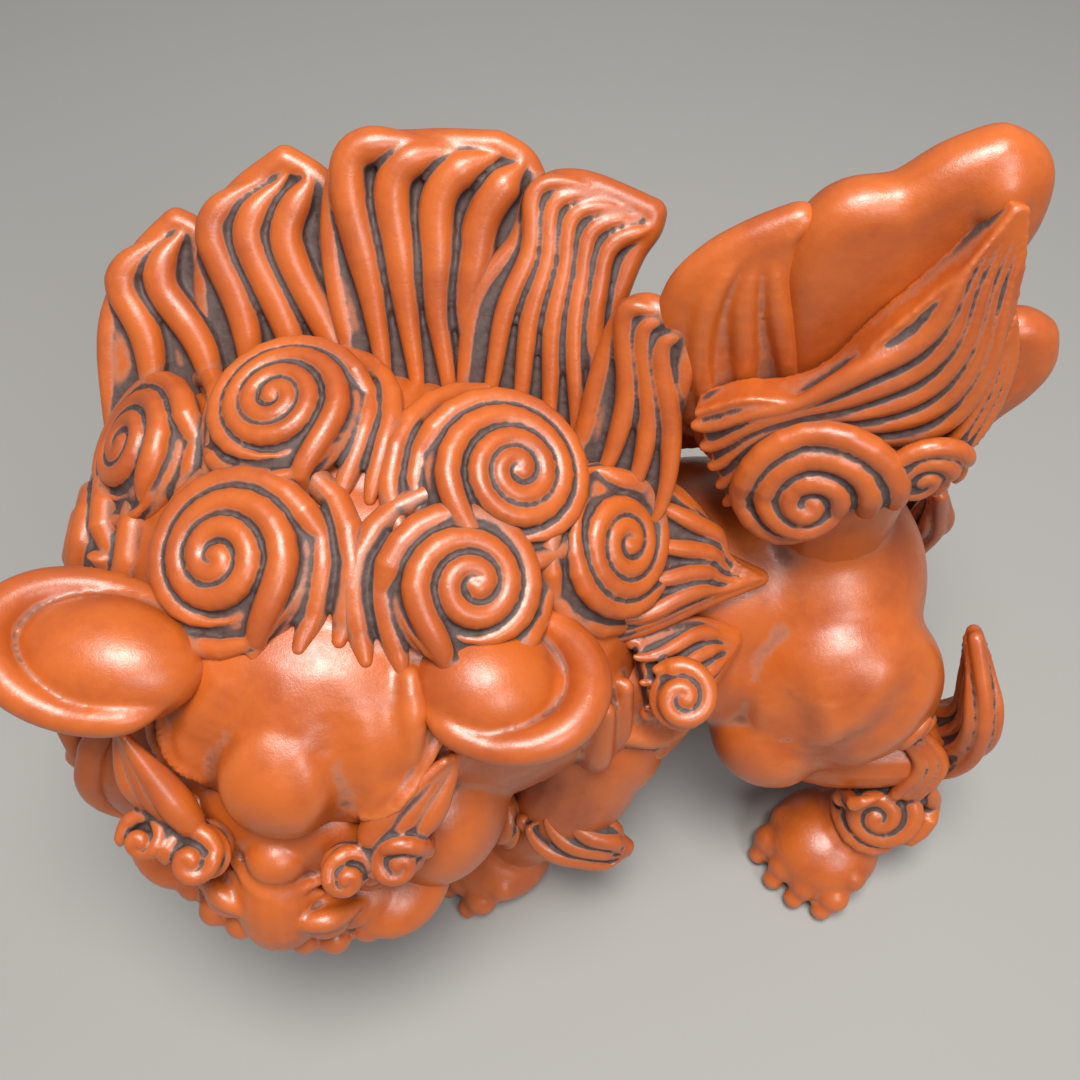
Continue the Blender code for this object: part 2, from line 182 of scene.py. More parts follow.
def node_tree(*nodes):
    """The outer skins of some sections of the frame, to seat clay on."""
    return skin_tree([frame["nodes"][node].data for node in nodes])


def skin_tree(meshes):
    """One search tree, in millimetres, of all the meshes."""
    verts, faces = [], []
    for mesh in meshes:
        start = len(verts)
        verts.extend(vert.co / MM for vert in mesh.vertices)
        faces.extend([start + corner for corner in face.vertices] for face in mesh.polygons)
    return BVHTree.FromPolygons(verts, faces)


class Seat:
    """A flat frame on a skin: right and up lie along it, and normal points out of it."""

    def __init__(self, tree, place, upward=SKYWARD, dome=0.0, radius=1.0):
        self.tree = tree
        self.dome = dome
        self.radius = radius
        spot, normal, _, _ = tree.find_nearest(place)
        self.face(spot, normal.normalized(), upward)

    def face(self, spot, normal, upward):
        """Sets the middle of the seat and the way that it faces."""
        self.spot, self.normal = spot, normal
        self.up = (upward - normal * upward.dot(normal)).normalized()
        self.right = self.up.cross(normal)

    def settle(self, tree, reach=12):
        """Turns the seat to the skin's average slope round it, so that no one facet sets it."""
        total = Vector()
        for step in range(12):
            angle = math.tau * step / 12
            spot = self.spot + (self.right * math.cos(angle) + self.up * math.sin(angle)) * reach
            total += tree.find_nearest(spot)[1]
        self.face(self.spot, (total / 12 + self.normal * 0.3).normalized(), self.up)
        return self

    def lay(self, x, y, lift=0.0):
        """The place on the domed skin that is x right and y up of the middle."""
        flat = self.spot + self.right * x + self.up * y
        start = flat + self.normal * PROBE_START
        hit = self.tree.ray_cast(start, -self.normal, PROBE_REACH)[0]
        if hit is None:
            hit = self.tree.find_nearest(flat)[0]
        height = (hit - flat).dot(self.normal)
        inside = 1 - (x * x + y * y) / (self.radius * self.radius)
        if inside > 0:
            height = max(height, self.dome * math.sqrt(inside))
        return flat + self.normal * (height + lift)


class Lump:
    """Soft clay for one piece: balls and ropes that are fused into one skin."""

    def __init__(self, place=world_place):
        self.bm = bmesh.new()
        self.place = place
        self.ropes = []

    def ball(self, centre, radii, axis=None):
        """An ellipsoid, with its last radius along axis if there is one."""
        origin = self.place(*centre)
        if axis is None:
            zero = self.place(0, 0, 0)
            axes = [spot - zero for spot in put(self.place, UNITS)]
            turn = Matrix(axes).transposed().to_4x4()
        else:
            turn = Vector((0, 0, 1)).rotation_difference(axis).to_matrix().to_4x4()
        matrix = Matrix.Scale(MM, 4) @ Matrix.Translation(origin)
        matrix = matrix @ turn @ Matrix.Diagonal((*radii, 1))
        bmesh.ops.create_uvsphere(
            self.bm, u_segments=BALL_SEGMENTS, v_segments=BALL_RINGS, radius=1, matrix=matrix
        )

    def rope(self, points, radii):
        """A tapered round rope of clay through the points."""
        self.laid(put(self.place, points), radii)

    def laid(self, path, radii):
        """A rope through spots that are already placed."""
        rows = []
        for index in range(len(path) - 1):
            for step in range(ROPE_STEPS):
                part = step / ROPE_STEPS
                rows.append((between(path, index, part), between(radii, index, part)))
        rows.append((path[-1], radii[-1]))
        self.ropes.append(rows)

    def sheet(self, one, other, thickness):
        """Rolled clay of one thickness, stretched from one edge to the other."""
        made = bmesh.ops.create_grid(self.bm, x_segments=10, y_segments=30, size=1)
        for vert in made["verts"]:
            part, share = (vert.co.y + 1) / 2, (vert.co.x + 1) / 2
            vert.co = along(one, part).lerp(along(other, part), share) * MM
        faces = list({face for vert in made["verts"] for face in vert.link_faces})
        flat = sum((vert.co for vert in made["verts"]), Vector()) / len(made["verts"])
        for face in faces:
            face.normal_update()
        walls = bmesh.ops.solidify(self.bm, geom=faces, thickness=thickness * MM)
        raised = [part for part in walls["geom"] if isinstance(part, bmesh.types.BMVert)]
        shift = (flat - sum((vert.co for vert in raised), Vector()) / len(raised)) / 2
        bmesh.ops.translate(self.bm, vec=shift, verts=list({*made["verts"], *raised}))

    def edge(self, points, radius, last=None):
        """A rope along a placed edge."""
        last = radius if last is None else last
        rows = []
        for step in range(EDGE_STEPS + 1):
            part = step / EDGE_STEPS
            rows.append((along(points, part), radius + (last - radius) * part))
        self.ropes.append(rows)

    def comb(
        self, one, other, count, thick, lift, sway=0.0, waves=1.1, reach=0.93, root=0.4, gap=0.44
    ):
        """Lays wavy ropes side by side between two edges. They swell, then taper at the tip.

        Every second rope stops a little short. gap is a rope's radius as a share of its room.
        """
        for strand in range(count):
            share = (strand + 0.5) / count
            rows = []
            for step in range(EDGE_STEPS + 1):
                part = (reach - 0.05 * (strand % 2)) * step / EDGE_STEPS
                start, end = along(one, part), along(other, part)
                across = (end - start).normalized()
                room = (end - start).length / count
                wave = sway * math.sin(math.tau * (part * waves + 0.04 * strand))
                wave *= min(1.0, room / thick * 0.6)
                taper = 1 - 0.7 * ease((step / EDGE_STEPS - 0.72) / 0.28)
                radius = min(thick, room * gap) * (ease(root + part * 1.6) * taper)
                rows.append((start + (end - start) * share + across * wave + lift, radius))
            self.ropes.append(rows)

    def press_ropes(self):
        """Turns the ropes into clay with the balls and sheets."""
        curve = bpy.data.curves.new("ropes", "CURVE")
        curve.dimensions = "3D"
        curve.bevel_depth = 1.0
        curve.bevel_resolution = 6
        curve.use_fill_caps = True
        for rows in self.ropes:
            rows = rounded(rows)
            spline = curve.splines.new("POLY")
            spline.points.add(len(rows) - 1)
            for point, (spot, radius) in zip(spline.points, rows):
                point.co = (*(spot * MM), 1)
                point.radius = max(radius, THINNEST) * MM
        obj = bpy.data.objects.new("ropes", curve)
        bpy.context.scene.collection.objects.link(obj)
        bpy.context.view_layer.update()
        graph = bpy.context.evaluated_depsgraph_get()
        mesh = bpy.data.meshes.new_from_object(obj.evaluated_get(graph))
        self.bm.from_mesh(mesh)
        bpy.data.objects.remove(obj)

    def fired(self, node, slot="washed_clay", fineness=0.8, soften=2):
        """The finished piece that stands for a section of the frame.

        fineness is how many carving steps the skin is fused at.
        """
        if self.ropes:
            self.press_ropes()
        bmesh.ops.recalc_face_normals(self.bm, faces=self.bm.faces)
        mesh = bpy.data.meshes.new(node)
        self.bm.to_mesh(mesh)
        self.bm.free()
        obj = bpy.data.objects.new("clay_" + node, mesh)
        bpy.context.scene.collection.objects.link(obj)
        fuse_skin(obj, fineness * round(settings().carving_step / MM, 5), soften)
        obj.data.shade_smooth()
        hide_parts(node)
        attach(obj, "root")
        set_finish(obj, slot)
        return obj


def rounded(rows):
    """A rope's steps with a round cap at each end."""
    caps = []
    for (spot, radius), (inner, _) in ((rows[0], rows[1]), (rows[-1], rows[-2])):
        outward = (spot - inner).normalized()
        turns = [(radius * math.sin(turn), radius * math.cos(turn)) for turn in CAP_TURNS]
        caps.append([(spot + outward * further, thinner) for further, thinner in turns])
    return caps[0][::-1] + rows + caps[1]


def fuse_skin(obj, voxel, rounds):
    """Makes one closed skin out of everything in obj, and softens it."""
    fuse = obj.modifiers.new("fuse", "REMESH")
    fuse.mode = "VOXEL"
    fuse.voxel_size = voxel * MM
    smooth = obj.modifiers.new("soften", "SMOOTH")
    smooth.iterations = rounds
    bpy.context.view_layer.update()
    graph = bpy.context.evaluated_depsgraph_get()
    mesh = bpy.data.meshes.new_from_object(obj.evaluated_get(graph))
    obj.modifiers.clear()
    obj.data = mesh


def read(items, name, width=3):
    """One row of numbers for each item of a mesh."""
    values = np.empty(len(items) * width, np.float32)
    items.foreach_get(name, values)
    return values.reshape(-1, width)


def corners_of(mesh):
    return read(mesh.vertices, "co")


def normals_of(mesh):
    return read(mesh.vertex_normals, "vector")


def put_back(mesh, spots):
    mesh.vertices.foreach_set("co", spots.astype(np.float32).ravel())
    mesh.update()


def carve(obj, path, width, depth, swell=0.35):
    """Draws a tool along the skin. It leaves a groove and pushes clay up beside it.

    swell is how high the pushed clay stands, as a share of depth.
    """
    spots = corners_of(obj.data) / MM
    steps = range(GROOVE_STEPS + 1)
    line = np.array([tuple(along(path, step / GROOVE_STEPS)) for step in steps], np.float32)
    line = np.array([spots[((spots - point) ** 2).sum(1).argmin()] for point in line])
    near = np.full(len(spots), 1e9, np.float32)
    fade = np.zeros(len(spots), np.float32)
    for index, point in enumerate(line):
        gap = ((spots - point) ** 2).sum(1)
        closer = gap < near
        near[closer] = gap[closer]
        fade[closer] = math.sin(math.pi * (index + 1.5) / (GROOVE_STEPS + 3)) ** 0.5
    ratio = np.sqrt(near) / width
    ridge = swell * np.exp(-((ratio - 1.9) ** 2) * 1.6)
    push = (-np.exp(-ratio * ratio) + ridge) * depth * fade
    moved = spots + normals_of(obj.data) * push[:, None]
    put_back(obj.data, moved * MM)


# ---- curls and locks


CURL_SPAN = 0.7  # turns that the outer ropes lie beside the spiral for
CURL_FAN = 0.14  # how much wider the ropes spread where they leave
CURL_BEND = 1.5  # how soon a tail bends the other way
CURL_LIFT = 0.25  # how high the ropes lie, as a share of their radius


def snail_curl(lump, seat, hand, leave, turns, pitch, mates=2, tail=18.0, thick=0.57):
    """Winds a rope out from a knob, lays mates outside it, and lets them all run off as tails.

    hand is 1 for ropes that turn from right to up, and -1 for the mirrored curl. leave is the
    side, in degrees, that the ropes leave from. thick is a rope's radius as a share of pitch.
    """
    radius = seat.radius
    lump.ball(seat.spot, (radius, radius, seat.dome), seat.normal)
    lump.ball(seat.lay(0, 0, pitch * 0.12), (pitch * 0.52,) * 3)
    finish = math.radians(leave)
    heavy = pitch * thick
    for mate in range(mates + 1):
        first = 0.0 if mate == 0 else turns - CURL_SPAN - 0.12 * mate
        steps = max(4, int((turns - first) * TURN_STEPS))
        rows = []
        for step in range(steps + 1):
            turned = first + (turns - first) * step / steps
            spread = 1 + CURL_FAN * ease(1 - (turns - turned) * 2.2)
            reach = pitch * (0.30 + turned + mate) * spread
            if mate == 0:
                reach *= ease(0.3 + turned * 2)
            angle = finish - hand * math.tau * (turns - turned)
            grown = ease((turned - first) * 3.5 + (0.7 if mate == 0 else 0.12))
            x, y = reach * math.cos(angle), reach * math.sin(angle)
            rows.append((seat.lay(x, y, heavy * CURL_LIFT * grown), heavy * grown * spread))
        heading = angle + hand * math.pi / 2
        steps = int(tail * (1 - 0.12 * mate) / TAIL_STEP)
        for step in range(1, steps + 1):
            part = step / steps
            heading += hand * TAIL_STEP / reach * (1 - part * CURL_BEND)
            x += math.cos(heading) * TAIL_STEP
            y += math.sin(heading) * TAIL_STEP
            radius = heavy * (1 + CURL_FAN) * (1 - 0.5 * part**3)
            rows.append((seat.lay(x, y, heavy * CURL_LIFT * (1 - part)), radius))
        lump.ropes.append(rows)


def flame_lock(
    lump, one, other, facing, strands, thick, sway=2.0, backing=5.0, rim=3.2, both=True, band=1.0
):
    """A sheet with a rolled rim, and wavy ropes that draw together below its tip.

    band is how many times as thick the rim is at the tip as at the foot. both is for ropes on
    the back as well.
    """
    facing = facing.normalized()
    lump.sheet(one, other, backing)
    lump.edge(one, rim, rim * band)
    lump.edge(other, rim, rim * band)
    for side in (1, -1) if both else (1,):
        lift = facing * (side * (backing * 0.5 + thick * 0.2))
        lump.comb(one, other, strands, thick, lift, sway, 1.2, 0.92, 0.42, 0.46)


def spine_lock(
    lump, spots, halves, facing, strands, thick, sway=1.5, backing=7.0, rim=2.8, both=False
):
    """A flame lock given by its spine and half widths."""
    spots = put(lump.place, spots)
    one, other = [], []
    for step in range(9):
        part = step / 8
        ahead = along(spots, part + 0.05) - along(spots, part - 0.05)
        across = ahead.cross(facing).normalized() * along(halves, part)
        one.append(along(spots, part) - across)
        other.append(along(spots, part) + across)
    flame_lock(lump, one, other, facing, strands, thick, sway, backing, rim, both)


# ---- sections


def shape_head():
    lump = Lump(head_place)
    lump.rope([(25, 30, 183), (28, 38, 177), (30, 46, 167)], (3, 4.5, 3))
    lump.ball((4, -15, CROWN), (90, 64, 72))
    lump.ball((4, -34, 142), (88, 48, 66))
    lump.ball((-3, 22, 148), (54, 42, 40))
    lump.ball((-4, 32, 118), (56, 38, 38))
    lump.ball((-4, 42, 152), (28, 22, 25))
    lump.ball((-4, 47, 154), (22.5, 25.5, 23))
    for side in (-1, 1):
        lump.ball((side * 44 - 6, 38, 112), (24, 28, 28))
        lump.ball((side * 24 - 3, 42, 151), (19, 19, 17))
        lump.ball((side * 34 - 4, 42, 92), (22, 28, 16))
    return lump


def make_head():
    lump = shape_head()
    tree = node_tree("head_shell")
    for side in (-1, 1):
        for strand in range(5):
            further = strand * 11
            places = (
                (side * 78 + 4, 12 - further, 152), (side * 84 + 4, 19 - further, 130),
                (side * 82 + 4, 12 - further, 108), (side * 70 + 4, 22 - further, 88),
            )
            seats = [tree.find_nearest(head_place(*place)) for place in places]
            lump.laid([spot + normal * 3.5 for spot, normal, _, _ in seats], (3.0, 5.0, 5.6, 1.6))
    head = lump.fired("head_shell", "bare_clay", 1.3, 9)
    for side in (-1, 1):
        valley = ((10, 44, 180), (19, 58, 164), (17, 68, 148))
        border = ((50, 40, 172), (42, 58, 158), (27, 70, 146))
        for groove, width, depth, swell in ((valley, 4.5, 1.5, 0.4), (border, 2.2, 1.8, 1.2)):
            path = [head_place(side * out - 4, front, height) for out, front, height in groove]
            carve(head, path, width, depth, swell)


def make_torso():
    lump = Lump()
    lump.ball((-4, BODY_Y, 112), (50, 47, 50))
    lump.ball((40, BODY_Y, 112), (54, 43, 43))
    lump.ball((80, BODY_Y, 113), (40, 45, 43))
    lump.ball((34, BODY_Y, 90), (50, 34, 28))
    lump.rope([(-20, 12, 128), (-60, 4, 132)], (42, 40))
    for sign in (-1, 1):
        lump.place = leg_place(sign)
        lump.ball((86, 36, 98), (38, 28, 42))
        lump.ball((66, 46, 82), (22, 22, 22))
        lump.ball((6, 46, 104), (31, 22, 34))
        lump.ball((44, 34, 104), (24, 16, 24))
    lump.place = tail_place(1)
    lump.rope([(78, 0, 130), (77, 0, 160), (74, 0, 184)], (24, 20, 22))
    torso = lump.fired("torso_shell", "bare_clay", 1.8, 32)
    folds = (  # the spots, then the width, the depth and the swell
        (((60, 56, 128), (64, 62, 116), (68, 66, 102)), 6, 2.0, 0.5),
        (((108, 50, 132), (96, 62, 116), (84, 66, 100), (80, 66, 86)), 6, 1.8, 0.5),
        (((-6, 70, 122), (10, 68, 108), (28, 60, 100)), 4.5, 2.4, 0.6),
        (((12, 60, 126), (26, 58, 118), (38, 54, 118)), 4, 2.0, 0.6),
    )
    for sign in (-1, 1):
        leg = leg_place(sign)
        for spots, width, depth, swell in folds:
            carve(torso, put(leg, spots), width, depth, swell)


def make_face():
    lump = Lump(head_place)
    lump.ball((-2, 56, 128), (30, 18, 20))
    lump.ball((-2, 71, 131), (9.5, 9.5, 8.5))
    lump.rope([(-2, 70, 126), (-1, 77, 119), (1, 81, 110)], (9, 12, 13))
    lump.ball((0, 66, 106), (38, 20, 12))
    for side in (-1, 1):
        lump.ball((side * 14, 79, 112), (9, 9, 8))
        lump.ball((side * 33 - 3, 60, 101), (19, 22, 12))
        lump.rope([(side * 8, 86, 118), (side * 17, 83, 119), (side * 24, 75, 112)], (2.5, 3.6, 2))
        for flake in range(4):
            out = side * (10 + flake * 9)
            lump.ball((out - 1, 86 - flake * flake * 1.9, 98), (5.2, 5, 6))
    for fold in range(2):
        ahead, height = 74 + fold * 3, 127 - fold * 4
        path = [(-15, ahead, height - 2), (-2, ahead + 8, height), (12, ahead, height - 2)]
        lump.rope(path, (1.5, 2.6, 1.5))
    lump.fired("muzzle", "bare_clay", 1.0)
    lump = Lump(head_place)
    lump.ball((-1, 46, 74), (38, 30, 12))
    lump.ball((-1, 64, 75), (18, 13, 10))
    lump.fired("lower_jaw", "bare_clay", 1.0, 3)
    lump = Lump(head_place)
    lump.rope([(-33, 50, 88), (-18, 66, 88), (-1, 70, 88), (16, 66, 88), (31, 50, 88)], (4,) * 5)
    for tooth in range(7):
        across = (tooth - 3) * 7
        lump.ball((across - 1, 71 - across * across * 0.016, 86), (3.3, 3, 6))
    for side in (-1, 1):
        lump.rope([(side * 26 - 1, 62, 92), (side * 27 - 1, 66, 78)], (5, 2.0))
    lump.fired("teeth", "bare_clay", 0.8)
    for name, side in (("left", 1), ("right", -1)):
        lump = Lump(head_place)
        lump.ball((side * 28 - 3, 62, 126), (10, 9, 9))
        for lid in (135, 117):
            path = [(side * 17 - 3, 66, 124), (side * 28 - 3, 70, lid), (side * 40 - 3, 60, 126)]
            lump.rope(path, (2, 2.6, 2))
        lump.ball((side * 28 - 3, 70, 126), (4, 3, 4))
        lump.fired(f"{name}_eye", "bare_clay", 0.8)


BROWS = {  # two curls with their radii, then the tuft from foot to tip
    "left": (
        ((19, 72, 138), 7.6),
        ((32, 65, 139), 8.6),
        ((29, 62, 144), (33, 55, 151), (41, 43, 163)),
    ),
    "right": (
        ((-21, 77, 139), 8.6),
        ((-36, 74, 138), 7.2),
        ((-31, 70, 144), (-38, 66, 150), (-48, 57, 163)),
    ),
}


def make_brow(name, side):
    """An eyebrow: two curls side by side and a flame tuft that sweeps up beside them."""
    lump = Lump(head_place)
    tree = node_tree(f"{name}_brow", "head_shell")
    *curls, tuft = BROWS[name]
    for spot, radius in curls:
        seat = Seat(tree, head_place(*spot), SKYWARD, 2.5, radius)
        seat.face(head_place(*spot), direction(head_place, side * 0.15, 0.7, 0.7), SKYWARD)
        lump.ball((spot[0], spot[1] - 1.5, spot[2] - 1.5), (radius * 0.92,) * 3)
        lump.place = placed
        snail_curl(lump, seat, -side, 90 - side * 60, 1.3, radius * 0.52, 0, 6, 0.56)
        lump.place = head_place
    for strand in range(3):
        beside = strand - 1
        path = [
            (x + side * beside * apart, y - beside * 1.6, z + 2 - beside * 0.6)
            for (x, y, z), apart in zip(tuft, (5.0, 5.6, 1.5))
        ]
        lump.rope(path, (4.4, 5.0, 1.3))
    lump.fired(f"{name}_brow", fineness=0.7)


def make_ear(name, side, centre, radii, pad, pad_radii):
    """A broad cupped ear: a soft pad inside a rolled rim that is open towards the head."""
    lump = Lump(head_place)
    lump.ball((centre[0], centre[1], centre[2] - 2), (radii[0], radii[1], 12))
    lump.ball(pad, pad_radii)
    rows = []
    for step in range(61):
        angle = math.radians(-150 + 300 * step / 60)
        across, ahead = math.cos(angle), math.sin(angle)
        fold = 1.0 + 0.35 * max(0.0, across)
        spot = head_place(
            centre[0] + side * radii[0] * across,
            centre[1] + radii[1] * ahead * 1.02,
            centre[2] + 3 + 4 * max(0, across),
        )
        rows.append((spot, 4.6 * fold * ease(0.25 + min(step, 60 - step) / 9)))
    lump.ropes.append(rows)
    lump.fired(name, "bare_clay", 0.9, 7)


MANE_CURLS = {  # seat, pitch, hand, the side it leaves from, turns, ropes laid outside, tail
    "crown_left": ((-24, -7, 205), 5.8, 1, 180, 2.6, 2, 34),
    "crown_right": ((-89, 11, 208), 5.5, -1, 0, 2.5, 2, 32),
    "brow_left": ((-36, -36, 192), 6.6, 1, 180, 1.7, 2, 26),
    "brow_right": ((-101, -29, 194), 6.6, -1, 0, 2.1, 2, 28),
    "temple_right": ((-139, 12, 191), 6.2, -1, -10, 2.1, 2, 14),
    "side_right": ((-163, 2, 163), 7.2, -1, -10, 1.6, 2, 24),
    "temple_left": ((6, -14, 180), 5.9, 1, 60, 2.4, 2, 16),
    "nape_right": ((-134, 48, 146), 8.6, -1, -20, 1.9, 2, 30),
    "nape_middle": ((-86, 62, 156), 8.8, 1, 200, 2.1, 2, 34),
    "nape_left": ((-36, 56, 146), 8.6, 1, 200, 1.8, 2, 30),
    "cheek_right": ((-160, -30, 118), 7.6, -1, -30, 1.6, 2, 26),
}


def make_mane():
    front_tree = node_tree("head_shell")
    clay_tree = skin_tree([bpy.data.objects["clay_head_shell"].data])
    for name, (place, pitch, hand, leave, turns, mates, tail) in MANE_CURLS.items():
        behind = "nape" in name or "cheek" in name
        tree = clay_tree if behind else front_tree
        upward = Vector((0, 0, 1)) if "nape" in name else SKYWARD
        radius = pitch * (turns + 0.3 + mates * 0.7)
        seat = Seat(tree, world_place(*place), upward, 2.5 + radius * 0.22, radius).settle(tree)
        lump = Lump(placed)
        snail_curl(lump, seat, hand, leave, turns, pitch, mates, tail)
        lump.fired("mane_curl_" + name, fineness=1.0 if behind else 0.7)


CREST_LOCKS = (  # the right and left edges, the ropes, and how far it stands forward
    (
        ((-150, 26, 178), (-149, 45, 200), (-144, 56, 211), (-135, 64, 220), (-125, 70, 226)),
        ((-110, 26, 178), (-116, 45, 200), (-118, 57, 212), (-119, 67, 223), (-125, 70, 226)),
        2, 1.0,
    ),
    (
        ((-114, 30, 185), (-118, 50, 209), (-115, 63, 224), (-106, 72, 234), (-91, 78, 242)),
        ((-72, 30, 185), (-80, 49, 207), (-80, 62, 223), (-80, 73, 236), (-91, 78, 242)),
        3, -1.0,
    ),
    (
        (
            (-68, 26, 184), (-76, 48, 212), (-77, 64, 232),
            (-70, 75, 246), (-50, 77, 248), (-29, 76, 248),
        ),
        (
            (-34, 25, 183), (-38, 46, 209), (-25, 59, 225),
            (-18, 66, 235), (-21, 73, 244), (-29, 76, 248),
        ),
        4, 2.0,
    ),
    (
        (
            (-40, 22, 188), (-36, 44, 218), (-23, 56, 231),
            (-17, 65, 241), (-5, 66, 243), (15, 61, 237),
        ),
        (
            (2, 12, 178), (0, 34, 206), (6, 47, 221),
            (10, 54, 229), (14, 58, 234), (15, 61, 237),
        ),
        5, -0.5,
    ),
    (
        ((-8, 6, 178), (0, 25, 207), (6, 32, 223), (12, 32, 229), (21, 28, 227)),
        ((18, -1, 172), (21, 16, 198), (23, 22, 214), (23, 26, 222), (21, 28, 227)),
        3, 1.0,
    ),
)

NAPE_LOCKS = (  # base, middle, tip and half width of the locks that hang behind the head
    ((-146, 36, 128), (-148, 46, 106), (-140, 50, 80), 16),
    ((-110, 54, 128), (-110, 64, 104), (-102, 64, 74), 20),
    ((-66, 58, 128), (-64, 68, 102), (-54, 66, 72), 20),
    ((-24, 54, 132), (-16, 66, 114), (2, 70, 94), 18),
    ((0, 40, 160), (20, 52, 152), (44, 50, 150), 13),
)
SHOULDER_EDGES = (  # of the upper shoulder lock
    ((8, 12, 182), (24, 8, 174), (35, 2, 163), (40, -4, 156), (53, -8, 150)),
    ((2, -30, 152), (14, -27, 152), (25, -22, 152), (37, -15, 150), (53, -8, 150)),
)


def make_crest():
    facing = Vector((0, -0.75, 0.66))
    for number, (one, other, strands, forward) in enumerate(CREST_LOCKS, 1):
        lump = Lump()
        one = [world_place(*spot) + facing * forward for spot in one]
        other = [world_place(*spot) + facing * forward for spot in other]
        flame_lock(lump, one, other, facing, strands, 5.4, 6.0, 5.0, 3.0, True, 1.5)
        lump.fired(f"crest_lock_{number}")


def make_nape():
    for number, (base, middle, tip, half) in enumerate(NAPE_LOCKS, 1):
        lump = Lump()
        halves = (half, half, 1.5)
        facing = Vector((0, 1, 0.2))
        spine_lock(lump, (base, middle, tip), halves, facing, 4, 4.0, 3.0, 9.0, 3.2)
        lump.fired(f"nape_lock_{number}", fineness=0.9)
    lump = Lump()
    one, other = (put(world_place, edge) for edge in SHOULDER_EDGES)
    flame_lock(lump, one, other, Vector((0.45, -0.3, 0.85)), 4, 3.0, 2.4, 8.0, 3.0, False)
    lump.fired("shoulder_lock_upper")
    lump = Lump()
    spots = ((14, -38, 140), (32, -30, 138), (46, -21, 134))
    spine_lock(lump, spots, (12, 11, 1), Vector((0, -1, 1)), 3, 2.6, 1.6)
    tree = node_tree("shoulder_lock_lower")
    seat = Seat(tree, world_place(26, -46, 142), SKYWARD, 3, 10)
    lump.place = placed
    snail_curl(lump, seat, 1, 90, 1.4, 5, 0, 8)
    lump.fired("shoulder_lock_lower")


def add_paw(lump, x, out, forward):
    """Four toes with claws. forward is the way that the toes point, as x and out."""
    ahead = Vector(forward).normalized()
    beside = Vector((-ahead.y, ahead.x))
    lump.ball((x, out, 13), (22, 22, 16))
    for toe in range(4):
        spread = (toe - 1.5) * 10.5
        reach = 15 - abs(toe - 1.5) * 4
        for further, height, radius in ((-4, 16, 6.5), (5, 10, 6.6), (11, 5, 4.2)):
            spot = ahead * (reach + further) + beside * spread
            lump.ball((x + spot.x, out + spot.y, height), (radius,) * 3)


def flat_sole(obj):
    """Presses everything below the floor flat on it."""
    spots = corners_of(obj.data)
    spots[:, 2] = np.maximum(spots[:, 2], 0.0)
    put_back(obj.data, spots)


def make_legs():
    for side, sign in (("left", -1), ("right", 1)):
        leg = leg_place(sign)
        lump = Lump(leg)
        lump.ball((6, 40, 100), (24, 20, 30))
        lump.ball((4, 54, 88), (23, 20, 26))
        path = [(4, 54, 92), (-2, 62, 70), (-12, 66, 50), (-22, 66, 32), (-28, 66, 20)]
        lump.rope(path, (20, 19, 17, 15, 14))
        add_paw(lump, -34, 68, (-1, 0.45))
        flat_sole(lump.fired(f"{side}_foreleg", "bare_clay", 1.1, 8))
        lump = Lump(leg)
        lump.ball((88, 34, 80), (26, 18, 26))
        lump.rope([(74, 44, 68), (96, 46, 62), (122, 46, 62)], (14, 15, 14))
        lump.rope([(126, 46, 62), (124, 50, 44), (112, 58, 26), (102, 66, 16)], (12, 13, 14, 15))
        add_paw(lump, 98, 66, (-0.7, 0.7))
        flat_sole(lump.fired(f"{side}_hindleg", "bare_clay", 1.1, 4))
        lump = Lump(leg)
        spots = [(-14, 72, 70), (-4, 78, 60), (6, 80, 52), (15, 80, 50)]
        spine_lock(lump, spots, (12, 13, 10, 1), direction(leg, 0, 1, 0.3), 3, 4.2, 2.4)
        lump.fired(f"{side}_elbow_tuft")
        lump = Lump(leg)
        spots = [(128, 40, 52), (137, 46, 76), (137, 42, 98), (130, 30, 122)]
        facing = direction(leg, 1, 0.1, 0.2)
        spine_lock(lump, spots, (12, 12, 11, 2), facing, 3, 2.8, 1.6, both=True)
        lump.fired(f"{side}_heel_tuft")
        tree = node_tree(f"{side}_foreleg")
        lump = Lump(placed)
        seat = Seat(tree, leg(-25, 69, 50), SKYWARD, 3, 11)
        snail_curl(lump, seat, -sign, 90, 1.5, 4.8, 0, 10)
        lump.fired(f"{side}_foreleg_curl", fineness=0.7)
        tree = node_tree(f"{side}_hindleg")
        lump = Lump(placed)
        low = Seat(tree, leg(112, 64, 44), SKYWARD, 4, 14)
        snail_curl(lump, low, -sign, 0, 1.6, 6.0, 1, 12)
        high = Seat(tree, leg(114, 50, 94), SKYWARD, 3, 10)
        snail_curl(lump, high, sign, 180, 1.3, 5.2, 1, 10)
        places = ((120, 62, 56), (124, 54, 70), (118, 50, 84))
        hits = [tree.find_nearest(leg(*place)) for place in places]
        for strand in range(3):
            beside = Vector((strand * 4 - 4, 0, 0))
            path = [spot + normal + beside for spot, normal, _, _ in hits]
            lump.laid(path, (2.6, 2.8, 2.2))
        lump.fired(f"{side}_hock_curl", fineness=0.9)


